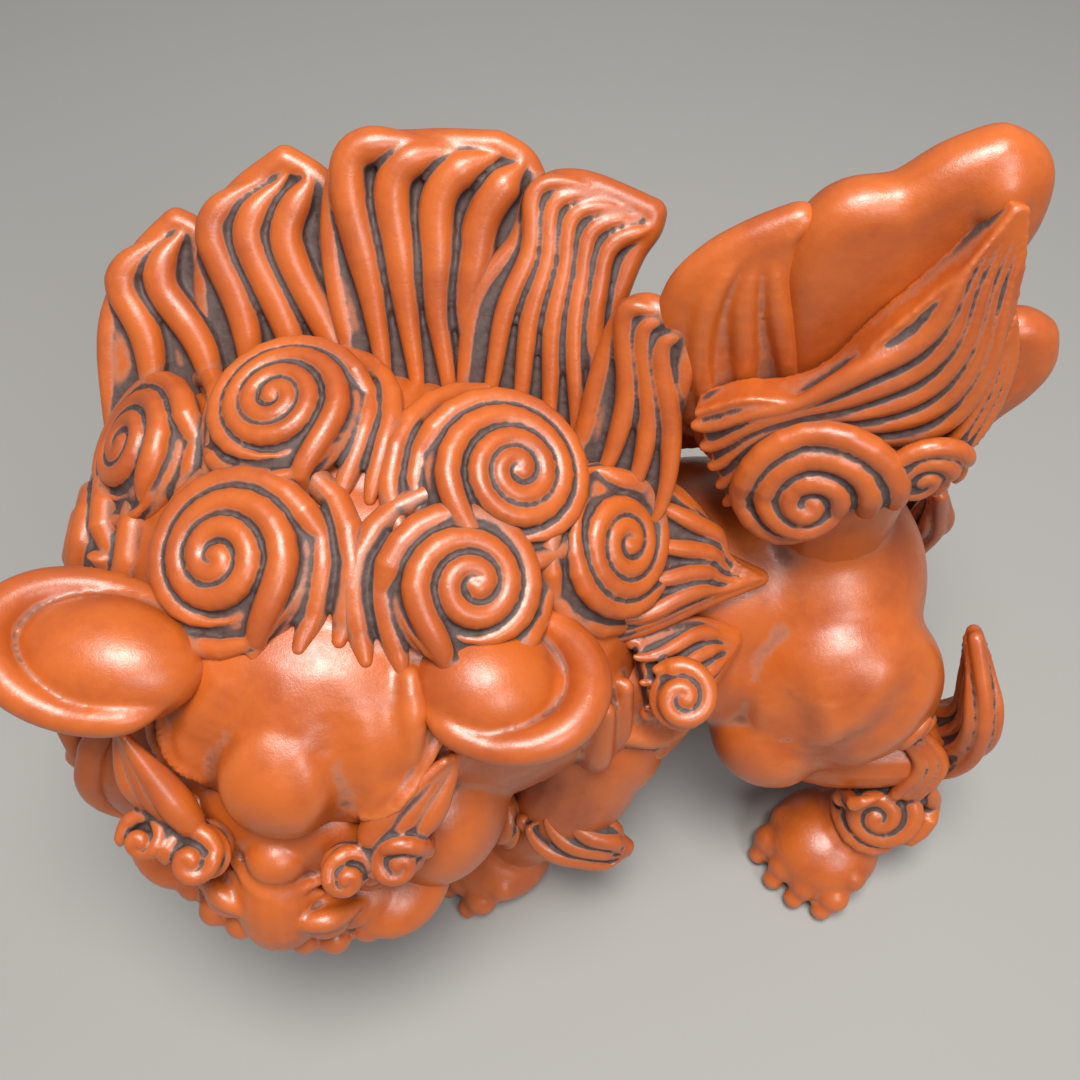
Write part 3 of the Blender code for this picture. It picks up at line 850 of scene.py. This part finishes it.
FRONT_TONGUE = (  # two edges, along and up, on the tail's middle plane
    ((28, 196), (20, 220), (21, 236), (28, 246), (38, 253), (49, 258)),
    ((62, 192), (58, 214), (52, 232), (48, 246), (47, 254), (49, 258)),
)
TALL_TONGUE = (
    ((62, 194), (58, 228), (55, 246), (60, 259), (74, 262), (85, 270), (94, 274)),
    ((96, 194), (97, 225), (98, 248), (101, 260), (100, 270), (94, 274)),
)
REAR_TONGUE = (
    ((92, 176), (98, 198), (106, 214), (114, 224), (121, 222)),
    ((104, 180), (114, 198), (120, 206), (123, 214), (121, 222)),
)
PLUME = (  # two edges, along and up
    ((26, 208), (38, 217), (51, 219), (62, 225), (71, 238), (80, 249), (88, 259), (96, 272)),
    ((40, 176), (46, 197), (61, 205), (80, 203), (95, 211), (104, 230), (104, 252), (100, 271)),
)
PLUME_OUT = (  # how far out of the middle plane the two edges lie
    (10, 14, 16, 16, 15, 14, 13, 10),
    (12, 16, 16, 15, 14, 13, 11, 9),
)
TAIL_CURLS = (  # name, middle, radius, turns
    ("large", (60, 17, 187), 20, 2.0),
    ("small", (90, 15, 194), 11, 1.4),
)
SMALL_CURL_LOCK = (
    ((98, 13, 182), (110, 11, 200), (112, 9, 222), (106, 8, 240)),
    ((88, 14, 184), (98, 15, 202), (104, 12, 222), (106, 8, 240)),
)


def make_tongue(name, edges, thickness, rim):
    """A thick smooth tongue of the tail. The short ones are ribbed."""
    middle = tail_place(1)
    one, other = [[middle(ahead, 0, height) for ahead, height in edge] for edge in edges]
    lump = Lump(placed)
    lump.sheet(one, other, thickness)
    lump.edge(one, rim)
    lump.edge(other, rim)
    if name == "tall":
        lump.ball(middle(95, 0, 268), (11, 12, 12))
    else:
        for side in (-1, 1):
            lift = Vector((0, side * thickness * 0.42, 0))
            lump.comb(one, other, 3, rim * 0.8, lift, 1.5, 0.8, 0.8, 0.6, 0.4)
    lump.fired("tail_tongue_" + name, "bare_clay", 1.0, 8)


def make_tail():
    lump = Lump(tail_place(1))
    lump.rope([(78, 0, 138), (76, 0, 172), (70, 0, 196)], (19, 24, 26))
    lump.ball((70, 0, 192), (42, 20, 22))
    lump.fired("tail_root", "bare_clay", 1.2, 6)
    make_tongue("front", FRONT_TONGUE, 11, 5.0)
    make_tongue("tall", TALL_TONGUE, 18, 9)
    make_tongue("rear", REAR_TONGUE, 14, 7)
    upright = Vector((0, 0, 1))
    for side, sign in (("left", -1), ("right", 1)):
        place = tail_place(sign)
        facing = direction(place, 0, 1, 0)
        lump = Lump(placed)
        one, other = (
            [place(spot[0], out, spot[1]) for spot, out in zip(edge, outs)]
            for edge, outs in zip(PLUME, PLUME_OUT)
        )
        lump.sheet(one, other, 10)
        lump.comb(one, other, 5, 5.2, facing * 5, 5.0, 1.9, 0.99, 0.5, 0.52)
        lump.fired(f"tail_{side}_plume", fineness=0.9)
        for kind, spot, radius, turns in TAIL_CURLS:
            tree = node_tree(f"tail_{side}_curl_{kind}", f"tail_{side}_plume", "tail_root")
            seat = Seat(tree, place(*spot), upright, radius * 0.35, radius)
            seat.face(place(*spot), direction(place, 0, 1, 0.35), upright)
            lump = Lump(placed)
            snail_curl(lump, seat, sign, 20, turns, radius * 0.9 / (turns + 0.8), 1, 14)
            if kind == "small":
                one, other = (put(place, edge) for edge in SMALL_CURL_LOCK)
                lump.sheet(one, other, 8)
                lump.comb(one, other, 3, 3.2, facing * 4, 1.0, 1.0, 0.95, 0.5)
            lump.fired(f"tail_{side}_curl_{kind}")


def make_ears_and_beard():
    make_ear("left_ear", 1, (50, 22, 175), (24, 20), (45, 23, 177), (20.5, 18.5, 15))
    make_ear("right_ear", -1, (-58, 42, 175), (27, 18.5), (-54, 42, 177), (25, 17, 14))
    for name, side, height in (("right", -28, 72), ("middle", 0, 64), ("left", 26, 72)):
        lump = Lump(head_place)
        lump.ball((side, 46, height), (10, 15, 10))
        for beside in (-5, 0, 5):
            path = [(side + beside, 60, height + 6), (side + beside, 64, height - 4)]
            lump.rope([*path, (side, 58, height - 12)], (3, 3, 1.5))
        lump.fired(f"beard_curl_{name}", fineness=0.9)


# ---- patina

CELL = 1.6  # the grid that the crowding of the skin is counted on
NEARBY = 2.4  # how far round a place crowding counts
OUTWARD = 1.8  # how far off the skin it is counted
MARGIN = 20  # room that the grid leaves round the lion
FINE_ROUNDS, BROAD_ROUNDS = 5, 24  # how often the skin is evened out for small and wide hollows
FINE_SHARE, BROAD_SHARE, CROWD_SHARE = 2.2, 1.1, 0.9  # what each hollow adds to the wash
BARE_SHARE = 0.45  # how much of the wide hollows counts on bare clay


def blurred(grid, spread):
    """The grid with each count spread over its neighbours."""
    reach = int(spread * 3) + 1
    weights = np.exp(-0.5 * (np.arange(-reach, reach + 1) / spread) ** 2)
    weights /= weights.sum()
    for axis in range(3):
        total = np.zeros_like(grid)
        for offset, weight in zip(range(-reach, reach + 1), weights):
            total += np.roll(grid, offset, axis) * np.float32(weight)
        grid = total
    return grid


def sampled(grid, spots):
    """What the grid holds at each spot, blended from the eight corners round it."""
    low = np.floor(spots).astype(int)
    part = (spots - low).astype(np.float32)
    total = np.zeros(len(spots), np.float32)
    for corner in range(8):
        step = np.array([corner & 1, corner >> 1 & 1, corner >> 2])
        weight = np.prod(np.where(step, part, 1 - part), axis=1)
        index = low + step
        total += grid[index[:, 0], index[:, 1], index[:, 2]] * weight
    return total


def hollowness(mesh, spots, normals, rounds):
    """How far each corner lies below the skin round it, in millimetres."""
    ends = np.empty(len(mesh.edges) * 2, np.int32)
    mesh.edges.foreach_get("vertices", ends)
    one, other = ends[::2], ends[1::2]
    count = np.bincount(ends, minlength=len(spots)).astype(np.float32)[:, None]
    calm = spots.copy()
    for _ in range(rounds):
        total = np.empty_like(calm)
        for axis in range(3):
            total[:, axis] = np.bincount(one, calm[other, axis], len(spots))
            total[:, axis] += np.bincount(other, calm[one, axis], len(spots))
        calm = calm * 0.4 + total / np.maximum(count, 1) * 0.6
    return ((calm - spots) * normals).sum(1)


def rub_patina(pieces):
    """Finds where the wash stays: in grooves, and where pieces crowd each other."""
    spots = [corners_of(piece.data) / MM for piece in pieces]
    normals = [normals_of(piece.data) for piece in pieces]
    low = np.min([spot.min(0) for spot in spots], axis=0) - MARGIN
    high = np.max([spot.max(0) for spot in spots], axis=0) + MARGIN
    size = ((high - low) / CELL).astype(int) + 2
    grid = np.zeros(size, np.float32)
    for piece, spot in zip(pieces, spots):
        area = read(piece.data.polygons, "area", 1).ravel().sum()
        weight = area / MM / MM / len(spot)
        index = np.round((spot - low) / CELL).astype(int)
        np.add.at(grid, (index[:, 0], index[:, 1], index[:, 2]), np.float32(weight))
    grid = blurred(grid, NEARBY / CELL) / CELL**3
    plain = math.exp(-0.5 * (OUTWARD / NEARBY) ** 2) / (NEARBY * math.sqrt(math.tau))
    for piece, spot, normal in zip(pieces, spots, normals):
        crowd = sampled(grid, (spot + normal * OUTWARD - low) / CELL) / plain - 1
        fine = hollowness(piece.data, spot, normal, FINE_ROUNDS)
        broad = hollowness(piece.data, spot, normal, BROAD_ROUNDS)
        share = BARE_SHARE if piece["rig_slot"] == "bare_clay" else 1.0
        wash = np.clip(broad * BROAD_SHARE, -0.8, 1.2) * share
        wash = wash + np.clip(crowd * CROWD_SHARE, -0.3, 0.9) * share
        wash += np.clip(fine * FINE_SHARE, -1, 1)
        wear = np.clip(-fine * 3.0 - 0.15, 0, 1)
        for name, values in (("wash", wash), ("wear", wear)):
            layer = piece.data.attributes.new(name, "FLOAT", "POINT")
            layer.data.foreach_set("value", values.astype(np.float32))


def new_material(name):
    """A new material, its node tree and its shader."""
    material = bpy.data.materials.new(name)
    material.use_nodes = True
    return material, material.node_tree, material.node_tree.nodes["Principled BSDF"]


def clay_material(name, washed):
    """Fired clay. The wash lies where the patina was rubbed in."""
    values = settings()
    material, tree, shader = new_material(name)
    links = tree.links

    def feed(socket, value):
        if isinstance(value, bpy.types.NodeSocket):
            links.new(value, socket)
        else:
            socket.default_value = value

    def ramp(source, low, high, low_value=0.0, high_value=1.0):
        node = tree.nodes.new("ShaderNodeMapRange")
        node.interpolation_type = "SMOOTHSTEP"
        for socket, value in zip(node.inputs, (source, low, high, low_value, high_value)):
            feed(socket, value)
        return node.outputs[0]

    def mix(factor, one, other):
        node = tree.nodes.new("ShaderNodeMix")
        node.data_type = "RGBA"
        for index, value in ((0, factor), (6, one), (7, other)):
            feed(node.inputs[index], value)
        return node.outputs[2]

    def calc(operation, one, other):
        node = tree.nodes.new("ShaderNodeMath")
        node.operation = operation
        feed(node.inputs[0], one)
        feed(node.inputs[1], other)
        return node.outputs[0]

    def paint(colour):
        return (*colour, 1.0)

    def worked(attribute):
        node = tree.nodes.new("ShaderNodeAttribute")
        node.attribute_name = attribute
        return node.outputs["Fac"]

    place = tree.nodes.new("ShaderNodeTexCoord").outputs["Object"]

    def noise(scale, detail, roughness):
        node = tree.nodes.new("ShaderNodeTexNoise")
        for key, value in (("Scale", scale), ("Detail", detail), ("Roughness", roughness)):
            node.inputs[key].default_value = value
        links.new(place, node.inputs["Vector"])
        return node.outputs["Fac"]

    blotch = noise(38.0, 4.0, 0.6)  # the first number is how many fit in a metre
    speck = noise(420.0, 5.0, 0.7)
    grit = noise(1500.0, 3.0, 0.6)
    level = calc("ADD", worked("wash"), calc("MULTIPLY", calc("SUBTRACT", speck, 0.5), 0.7))
    level = calc("ADD", level, calc("MULTIPLY", calc("SUBTRACT", blotch, 0.5), 0.4))
    first = 0.30 if washed else 0.75  # the level at which the wash starts to show
    stain = ramp(level, first, first + 0.55)
    settled = ramp(level, first - 0.30, first + 0.1)
    dust = calc("MULTIPLY", settled, ramp(level, first + 0.75, first + 0.2))

    pale = paint(values.dust_colour)
    clay = mix(ramp(blotch, 0.35, 0.7), paint(values.clay_colour), paint(values.clay_shade))
    clay = mix(ramp(speck, 0.62, 0.8, 0.0, 0.35), clay, pale)
    clay = mix(calc("MULTIPLY", worked("wear"), 0.45), clay, paint(values.worn_colour))
    clay = mix(calc("MULTIPLY", dust, 0.5), clay, pale)
    slate = mix(ramp(speck, 0.35, 0.7), paint(values.wash_colour), paint(values.wash_pale))
    colour = mix(calc("MULTIPLY", stain, 0.93 if washed else 0.6), clay, slate)
    links.new(colour, shader.inputs["Base Color"])
    gloss = ramp(speck, 0.3, 0.75, 0.30, 0.42)
    links.new(calc("ADD", gloss, calc("MULTIPLY", stain, 0.32)), shader.inputs["Roughness"])
    shader.inputs["Specular IOR Level"].default_value = 0.75
    bump = tree.nodes.new("ShaderNodeBump")
    bump.inputs["Strength"].default_value = 0.35
    bump.inputs["Distance"].default_value = 0.0004
    height = calc("ADD", calc("MULTIPLY", speck, 0.7), calc("MULTIPLY", grit, 0.3))
    links.new(height, bump.inputs["Height"])
    links.new(bump.outputs["Normal"], shader.inputs["Normal"])
    return material


# ---- stage

FLOOR_HALF = 6  # half of the floor's width, in metres
LIT_SPOT = (0, 0, 0.12)  # where both lights point, in metres
LIGHT_WIDTH = 0.5
FILL_SHARE = 0.35  # the front light's power beside the overhead one
CAMERA_PLACE = (-17, -182, 440)
CAMERA_TILT = 33.0  # degrees from straight down
CAMERA_SENSOR, CAMERA_LENS = 36.0, 35.33


def plain_material(name, colour):
    """A dull surface with a faint unevenness."""
    material, tree, shader = new_material(name)
    noise = tree.nodes.new("ShaderNodeTexNoise")
    noise.inputs["Scale"].default_value = 60.0
    place = tree.nodes.new("ShaderNodeTexCoord")
    tree.links.new(place.outputs["Object"], noise.inputs["Vector"])
    bump = tree.nodes.new("ShaderNodeBump")
    bump.inputs["Strength"].default_value = 0.05
    bump.inputs["Distance"].default_value = 0.0005
    tree.links.new(noise.outputs["Fac"], bump.inputs["Height"])
    tree.links.new(bump.outputs["Normal"], shader.inputs["Normal"])
    shader.inputs["Base Color"].default_value = (*colour, 1.0)
    shader.inputs["Roughness"].default_value = 0.8
    return material


def soft_light(name, place, energy, colour):
    light = bpy.data.lights.new(name, "AREA")
    light.shape = "DISK"
    light.size = LIGHT_WIDTH
    light.energy = energy
    light.color = colour
    obj = bpy.data.objects.new(name, light)
    obj.location = place
    aim = Vector(LIT_SPOT) - Vector(place)
    obj.rotation_euler = aim.to_track_quat("-Z", "Y").to_euler()
    bpy.context.scene.collection.objects.link(obj)


def set_stage():
    values = settings()
    bm = bmesh.new()
    bmesh.ops.create_grid(bm, x_segments=1, y_segments=1, size=FLOOR_HALF)
    mesh = bpy.data.meshes.new("floor")
    bm.to_mesh(mesh)
    bm.free()
    floor = bpy.data.objects.new("floor", mesh)
    floor.data.materials.append(plain_material("pale_floor", tuple(values.floor_colour)))
    bpy.context.scene.collection.objects.link(floor)
    world = bpy.data.worlds.new("soft_room")
    world.use_nodes = True
    glow = world.node_tree.nodes["Background"].inputs
    glow["Color"].default_value = (0.95, 0.97, 1.0, 1.0)
    glow["Strength"].default_value = values.room_light
    bpy.context.scene.world = world
    power = values.key_light
    soft_light("overhead", (0.02, -0.16, 1.22), power, (1.0, 0.97, 0.93))
    soft_light("front_fill", (0.55, -0.85, 1.05), power * FILL_SHARE, (0.97, 0.98, 1.0))
    bpy.context.scene.view_settings.view_transform = "Standard"
    camera = bpy.data.cameras.new("camera")
    camera.sensor_width = CAMERA_SENSOR
    camera.lens = CAMERA_LENS
    obj = bpy.data.objects.new("camera", camera)
    obj.location = (Vector(CAMERA_PLACE) + ORIGIN) * MM
    obj.rotation_euler = (math.radians(CAMERA_TILT), 0, 0)
    bpy.context.scene.collection.objects.link(obj)
    bpy.context.scene.camera = obj


# ---- add-on


def colour(name, description, default):
    return FloatVectorProperty(
        name=name, description=description, default=default, subtype="COLOR", min=0.0, max=1.0
    )


class LionSettings(bpy.types.PropertyGroup):
    carving_step: FloatProperty(
        name="Carving step",
        description="Step of the carved skin, which each piece takes its own multiple of",
        default=0.001,
        unit="LENGTH",
    )
    clay_colour: colour("Clay", "The fired clay", (0.50, 0.105, 0.012))
    clay_shade: colour("Clay shade", "Darker patches of the clay", (0.37, 0.068, 0.010))
    worn_colour: colour("Worn ridges", "Clay that handling has polished", (0.62, 0.17, 0.045))
    dust_colour: colour("Dust", "Pale dust beside the grooves", (0.36, 0.16, 0.10))
    wash_colour: colour("Wash", "Dark wash in the grooves", (0.018, 0.015, 0.016))
    wash_pale: colour("Pale wash", "Where the wash has dried thin", (0.052, 0.046, 0.045))
    floor_colour: colour("Floor", "The plain floor", (0.34, 0.335, 0.32))
    key_light: FloatProperty(
        name="Overhead light",
        description="Power of the light overhead",
        default=16.0,
        unit="POWER",
    )
    room_light: FloatProperty(
        name="Room light",
        description="Strength of the light all round",
        default=0.30,
        subtype="FACTOR",
    )


def finish_clay():
    """Rubs in the patina and gives every piece its clay."""
    pieces = [obj for obj in bpy.data.objects if obj.name.startswith("clay_")]
    rub_patina(pieces)
    finishes = {
        "bare_clay": clay_material("bare_clay", False),
        "washed_clay": clay_material("washed_clay", True),
    }
    for piece in pieces:
        piece.data.materials.clear()
        piece.data.materials.append(finishes[piece["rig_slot"]])


class CLAYLION_OT_torso(bpy.types.Operator):
    """Makes the torso"""

    bl_idname = "claylion.torso"
    bl_label = "Torso"

    def execute(self, context):
        make_torso()
        return {"FINISHED"}


class CLAYLION_OT_head(bpy.types.Operator):
    """Makes the head and the locks behind its cheeks"""

    bl_idname = "claylion.head"
    bl_label = "Head"

    def execute(self, context):
        make_head()
        return {"FINISHED"}


class CLAYLION_OT_face(bpy.types.Operator):
    """Makes the muzzle, the jaw, the teeth and the eyes"""

    bl_idname = "claylion.face"
    bl_label = "Face"

    def execute(self, context):
        make_face()
        return {"FINISHED"}


class CLAYLION_OT_brows(bpy.types.Operator):
    """Makes the eyebrows"""

    bl_idname = "claylion.brows"
    bl_label = "Brows"

    def execute(self, context):
        make_brow("left", 1)
        make_brow("right", -1)
        return {"FINISHED"}


class CLAYLION_OT_ears(bpy.types.Operator):
    """Makes the ears and the beard curls"""

    bl_idname = "claylion.ears"
    bl_label = "Ears and beard"

    def execute(self, context):
        make_ears_and_beard()
        return {"FINISHED"}


class CLAYLION_OT_mane(bpy.types.Operator):
    """Makes the snail curls of the mane"""

    bl_idname = "claylion.mane"
    bl_label = "Mane"

    def execute(self, context):
        make_mane()
        return {"FINISHED"}


class CLAYLION_OT_crest(bpy.types.Operator):
    """Makes the flame locks behind the curls"""

    bl_idname = "claylion.crest"
    bl_label = "Crest"

    def execute(self, context):
        make_crest()
        return {"FINISHED"}


class CLAYLION_OT_nape(bpy.types.Operator):
    """Makes the hanging locks and the shoulder locks"""

    bl_idname = "claylion.nape"
    bl_label = "Nape and shoulder"

    def execute(self, context):
        make_nape()
        return {"FINISHED"}


class CLAYLION_OT_legs(bpy.types.Operator):
    """Makes the legs with their tufts and curls"""

    bl_idname = "claylion.legs"
    bl_label = "Legs"

    def execute(self, context):
        make_legs()
        return {"FINISHED"}


class CLAYLION_OT_tail(bpy.types.Operator):
    """Makes the tail"""

    bl_idname = "claylion.tail"
    bl_label = "Tail"

    def execute(self, context):
        make_tail()
        return {"FINISHED"}


class CLAYLION_OT_patina(bpy.types.Operator):
    """Rubs the wash into the grooves of every piece"""

    bl_idname = "claylion.patina"
    bl_label = "Patina"

    def execute(self, context):
        finish_clay()
        return {"FINISHED"}


class CLAYLION_OT_stage(bpy.types.Operator):
    """Sets the floor, the lights and the camera"""

    bl_idname = "claylion.stage"
    bl_label = "Stage"

    def execute(self, context):
        set_stage()
        return {"FINISHED"}


OPERATORS = (
    CLAYLION_OT_torso,
    CLAYLION_OT_head,
    CLAYLION_OT_face,
    CLAYLION_OT_brows,
    CLAYLION_OT_ears,
    CLAYLION_OT_mane,
    CLAYLION_OT_crest,
    CLAYLION_OT_nape,
    CLAYLION_OT_legs,
    CLAYLION_OT_tail,
    CLAYLION_OT_patina,
    CLAYLION_OT_stage,
)


class CLAYLION_PT_panel(bpy.types.Panel):
    """Lists the pieces and the settings"""

    bl_idname = "CLAYLION_PT_panel"
    bl_label = "Clay Lion"
    bl_space_type = "VIEW_3D"
    bl_region_type = "UI"
    bl_category = "Clay Lion"

    def draw(self, context):
        for name in LionSettings.__annotations__:
            self.layout.prop(context.scene.clay_lion, name)
        for operator in OPERATORS:
            self.layout.operator(operator.bl_idname)


CLASSES = (LionSettings, *OPERATORS, CLAYLION_PT_panel)


def register():
    for cls in CLASSES:
        bpy.utils.register_class(cls)
    bpy.types.Scene.clay_lion = PointerProperty(type=LionSettings)


def unregister():
    del bpy.types.Scene.clay_lion
    for cls in reversed(CLASSES):
        bpy.utils.unregister_class(cls)


def main():
    register()
    for operator in OPERATORS:
        group, name = operator.bl_idname.split(".")
        getattr(getattr(bpy.ops, group), name)()


if __name__ == "__main__":
    main()
